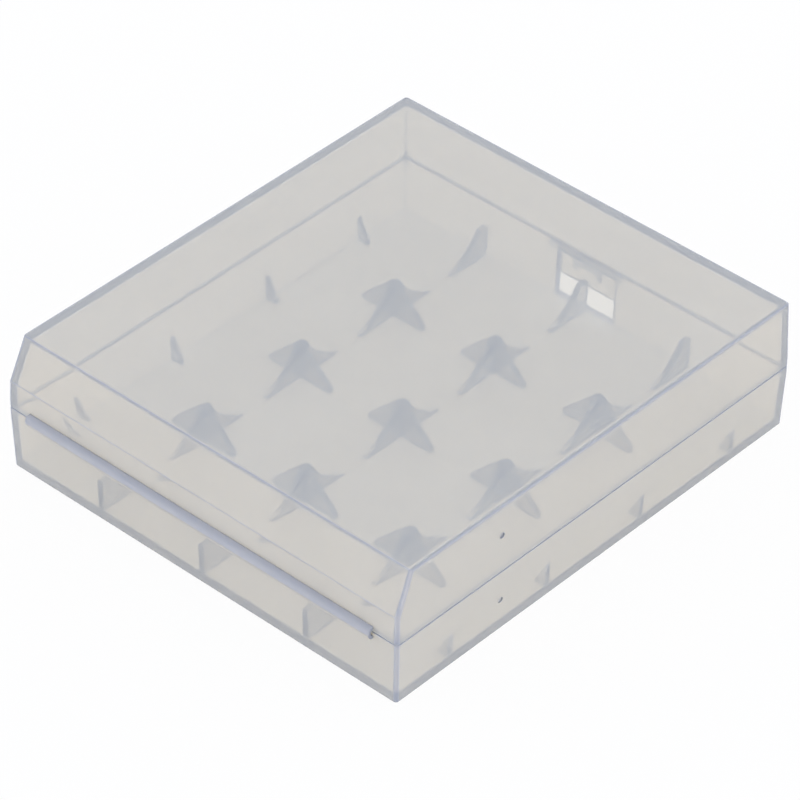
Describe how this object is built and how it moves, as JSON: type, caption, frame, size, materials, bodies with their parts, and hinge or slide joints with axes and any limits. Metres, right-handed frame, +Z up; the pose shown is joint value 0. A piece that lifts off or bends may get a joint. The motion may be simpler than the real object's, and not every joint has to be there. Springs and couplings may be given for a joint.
{
  "type": "battery storage case",
  "caption": "Clear hinged clamshell case that holds round cells side by side on low cross-shaped posts, with a film hinge and a snap latch.",
  "frame": {"origin": "middle of the flat underside of the tray, where the case stands on a table", "axes": "+X along the cells and the hinge, +Y from the hinge side to the latch side, +Z up through the lid"},
  "size_m": [0.0554, 0.0626, 0.0164],
  "materials": {
    "tray_shell": "clear moulded polypropylene",
    "divider_posts": "clear moulded polypropylene",
    "end_stops": "clear moulded polypropylene",
    "wall_ribs": "clear moulded polypropylene",
    "latch_bar": "clear moulded polypropylene",
    "lid_shell": "clear moulded polypropylene",
    "film_hinge": "clear moulded polypropylene",
    "latch_tongue": "clear moulded polypropylene",
    "latch_catch": "clear moulded polypropylene"
  },
  "bodies": {
    "tray": {"base_tray": "tray_shell", "divider_post_1": "divider_posts", "divider_post_2": "divider_posts", "divider_post_3": "divider_posts", "divider_post_4": "divider_posts", "divider_post_5": "divider_posts", "divider_post_6": "divider_posts", "divider_post_7": "divider_posts", "divider_post_8": "divider_posts", "divider_post_9": "divider_posts", "end_stop_left_1": "end_stops", "end_stop_left_2": "end_stops", "end_stop_left_3": "end_stops", "end_stop_left_4": "end_stops", "end_stop_right_1": "end_stops", "end_stop_right_2": "end_stops", "end_stop_right_3": "end_stops", "end_stop_right_4": "end_stops", "hinge_rib_1": "wall_ribs", "hinge_rib_2": "wall_ribs", "hinge_rib_3": "wall_ribs", "latch_rib_1": "wall_ribs", "latch_rib_2": "wall_ribs", "latch_rib_3": "wall_ribs", "latch_bar": "latch_bar", "living_hinge": "film_hinge"},
    "lid": {"lid_shell": "lid_shell"},
    "latch": {"latch_tongue": "latch_tongue", "latch_catch": "latch_catch"}
  },
  "joints": [
    {"name": "lid_hinge", "type": "hinge", "parent": "tray", "child": "lid", "pos_m": [0, -0.03155, 0.008], "axis": [1, 0, 0], "range_deg": [0, 172], "deforming": ["living_hinge", "latch_catch"]},
    {"name": "latch_flex", "type": "hinge", "parent": "lid", "child": "latch", "pos_m": [0, 0.0309, 0.00805], "axis": [1, 0, 0], "range_deg": [0, 18], "stiffness_Nm_per_rad": 0.062}
  ]
}
